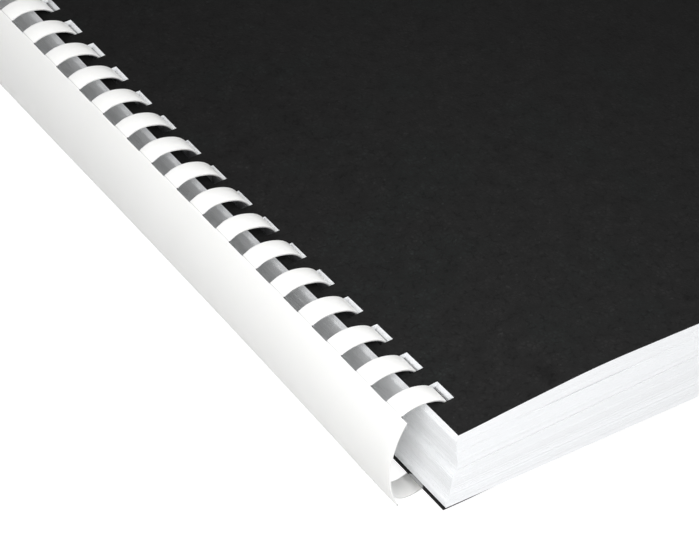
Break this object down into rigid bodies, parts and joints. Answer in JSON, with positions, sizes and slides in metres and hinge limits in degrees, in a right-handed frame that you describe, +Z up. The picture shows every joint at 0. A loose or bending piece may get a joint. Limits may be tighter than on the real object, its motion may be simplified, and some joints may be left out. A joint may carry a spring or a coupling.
{
  "type": "comb-bound document",
  "caption": "Comb-bound document lying closed: white plastic comb through a thick block of punched leaves between black grained card covers.",
  "frame": {"origin": "middle of the bounding box, on the surface that the document lies on", "axes": "+X from the comb towards the fore edge, +Y along the binding from foot to head, +Z up through the front cover"},
  "size_m": [0.2316, 0.2802, 0.036],
  "materials": {
    "comb_plastic": "white moulded plastic with a satin sheen",
    "cover_card": "black card with a fine leather-grain emboss",
    "paper": "smooth bright white office paper"
  },
  "bodies": {
    "block": {"comb_spine": "comb_plastic", "comb_finger_crowns": "comb_plastic", "comb_finger_shanks": "comb_plastic", "comb_finger_tails": "comb_plastic", "sheaf_05": "paper", "sheaf_06": "paper", "sheaf_07": "paper", "sheaf_08": "paper", "sheaf_09": "paper", "sheaf_10": "paper", "sheaf_11": "paper", "sheaf_12": "paper", "sheaf_13": "paper", "sheaf_14": "paper", "sheaf_15": "paper", "sheaf_16": "paper", "sheaf_17": "paper", "sheaf_18": "paper", "sheaf_19": "paper", "sheaf_20": "paper", "sheaf_21": "paper", "sheaf_22": "paper", "sheaf_23": "paper", "sheaf_24": "paper", "sheaf_25": "paper"},
    "front_cover_margin": {"front_cover_bound_edge": "cover_card"},
    "front_cover_panel": {"front_cover": "cover_card"},
    "leaf_1_margin": {"leaf_1_bound_edge": "paper"},
    "leaf_1_panel": {"leaf_1": "paper"},
    "leaf_2_margin": {"leaf_2_bound_edge": "paper"},
    "leaf_2_panel": {"leaf_2": "paper"},
    "leaf_3_margin": {"leaf_3_bound_edge": "paper"},
    "leaf_3_panel": {"leaf_3": "paper"},
    "leaf_4_margin": {"leaf_4_bound_edge": "paper"},
    "leaf_4_panel": {"leaf_4": "paper"},
    "back_cover_margin": {"back_cover_bound_edge": "cover_card"},
    "back_cover_panel": {"back_cover": "cover_card"}
  },
  "joints": [
    {"name": "front_cover_turn", "type": "hinge", "parent": "block", "child": "front_cover_margin", "pos_m": [-0.10525, 0, 0.02249], "axis": [0, -1, 0], "range_deg": [0, 60]},
    {"name": "front_cover_fold", "type": "hinge", "parent": "front_cover_margin", "child": "front_cover_panel", "pos_m": [-0.09113, 0, 0.03307], "axis": [0, -1, 0], "range_deg": [0, 128]},
    {"name": "leaf_1_turn", "type": "hinge", "parent": "block", "child": "leaf_1_margin", "pos_m": [-0.10525, 0, 0.02249], "axis": [0, -1, 0], "range_deg": [0, 54]},
    {"name": "leaf_1_fold", "type": "hinge", "parent": "leaf_1_margin", "child": "leaf_1_panel", "pos_m": [-0.09115, 0, 0.03228], "axis": [0, -1, 0], "range_deg": [0, 103]},
    {"name": "leaf_2_turn", "type": "hinge", "parent": "block", "child": "leaf_2_margin", "pos_m": [-0.10525, 0, 0.02249], "axis": [0, -1, 0], "range_deg": [0, 46]},
    {"name": "leaf_2_fold", "type": "hinge", "parent": "leaf_2_margin", "child": "leaf_2_panel", "pos_m": [-0.09117, 0, 0.03106], "axis": [0, -1, 0], "range_deg": [0, 80]},
    {"name": "leaf_3_turn", "type": "hinge", "parent": "block", "child": "leaf_3_margin", "pos_m": [-0.10525, 0, 0.02249], "axis": [0, -1, 0], "range_deg": [0, 36]},
    {"name": "leaf_3_fold", "type": "hinge", "parent": "leaf_3_margin", "child": "leaf_3_panel", "pos_m": [-0.0912, 0, 0.02985], "axis": [0, -1, 0], "range_deg": [0, 50]},
    {"name": "leaf_4_turn", "type": "hinge", "parent": "block", "child": "leaf_4_margin", "pos_m": [-0.10525, 0, 0.02249], "axis": [0, -1, 0], "range_deg": [0, 24]},
    {"name": "leaf_4_fold", "type": "hinge", "parent": "leaf_4_margin", "child": "leaf_4_panel", "pos_m": [-0.09122, 0, 0.02872], "axis": [0, -1, 0], "range_deg": [0, 22]},
    {"name": "back_cover_turn", "type": "hinge", "parent": "block", "child": "back_cover_margin", "pos_m": [-0.10545, 0, 0.01292], "axis": [0, 1, 0], "range_deg": [0, 60]},
    {"name": "back_cover_fold", "type": "hinge", "parent": "back_cover_margin", "child": "back_cover_panel", "pos_m": [-0.09173, 0, 0.00424], "axis": [0, 1, 0], "range_deg": [0, 110]}
  ],
  "couplings": [
    {"joint": "front_cover_fold", "follows": "front_cover_turn", "ratio": 2.1333},
    {"joint": "leaf_1_turn", "follows": "front_cover_turn", "ratio": 0.9},
    {"joint": "leaf_1_fold", "follows": "front_cover_turn", "ratio": 1.7167},
    {"joint": "leaf_2_turn", "follows": "front_cover_turn", "ratio": 0.76667},
    {"joint": "leaf_2_fold", "follows": "front_cover_turn", "ratio": 1.3333},
    {"joint": "leaf_3_turn", "follows": "front_cover_turn", "ratio": 0.6},
    {"joint": "leaf_3_fold", "follows": "front_cover_turn", "ratio": 0.83333},
    {"joint": "leaf_4_turn", "follows": "front_cover_turn", "ratio": 0.4},
    {"joint": "leaf_4_fold", "follows": "front_cover_turn", "ratio": 0.36667},
    {"joint": "back_cover_fold", "follows": "back_cover_turn", "ratio": 1.8333}
  ]
}
